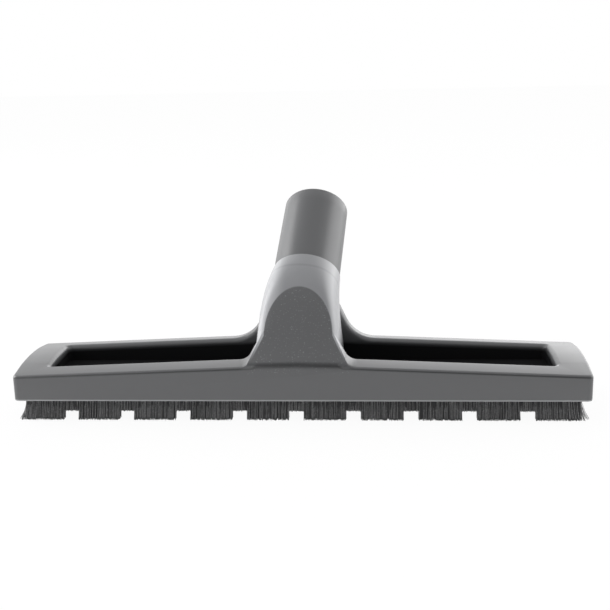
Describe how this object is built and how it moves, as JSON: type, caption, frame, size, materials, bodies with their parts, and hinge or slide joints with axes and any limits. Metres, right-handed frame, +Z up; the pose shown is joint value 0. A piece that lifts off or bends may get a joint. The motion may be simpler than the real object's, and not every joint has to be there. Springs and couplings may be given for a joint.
{
  "type": "vacuum cleaner hard floor brush",
  "caption": "Long low brush head with a bristle skirt underneath and a leaning round socket neck for a vacuum cleaner wand.",
  "frame": {"origin": "middle of the whole part's footprint, in the plane of the bristle tips", "axes": "+X along the head, +Y to the back where the socket leans, +Z up"},
  "size_m": [0.3, 0.1052, 0.1091],
  "materials": {
    "housing_plastic": "mid grey moulded plastic with a fine satin texture",
    "bristle_fibre": "dark grey soft brush filaments",
    "strip_steel": "zinc plated folded steel strip",
    "wire_steel": "drawn galvanised wire"
  },
  "bodies": {
    "root": {"brush_housing": "housing_plastic", "front_channel": "strip_steel", "front_bristles": "bristle_fibre", "front_core_wire": "wire_steel", "rear_channel": "strip_steel", "rear_bristles": "bristle_fibre", "rear_core_wire": "wire_steel", "left_channel": "strip_steel", "left_bristles": "bristle_fibre", "left_core_wire": "wire_steel", "right_channel": "strip_steel", "right_bristles": "bristle_fibre", "right_core_wire": "wire_steel"}
  },
  "joints": []
}
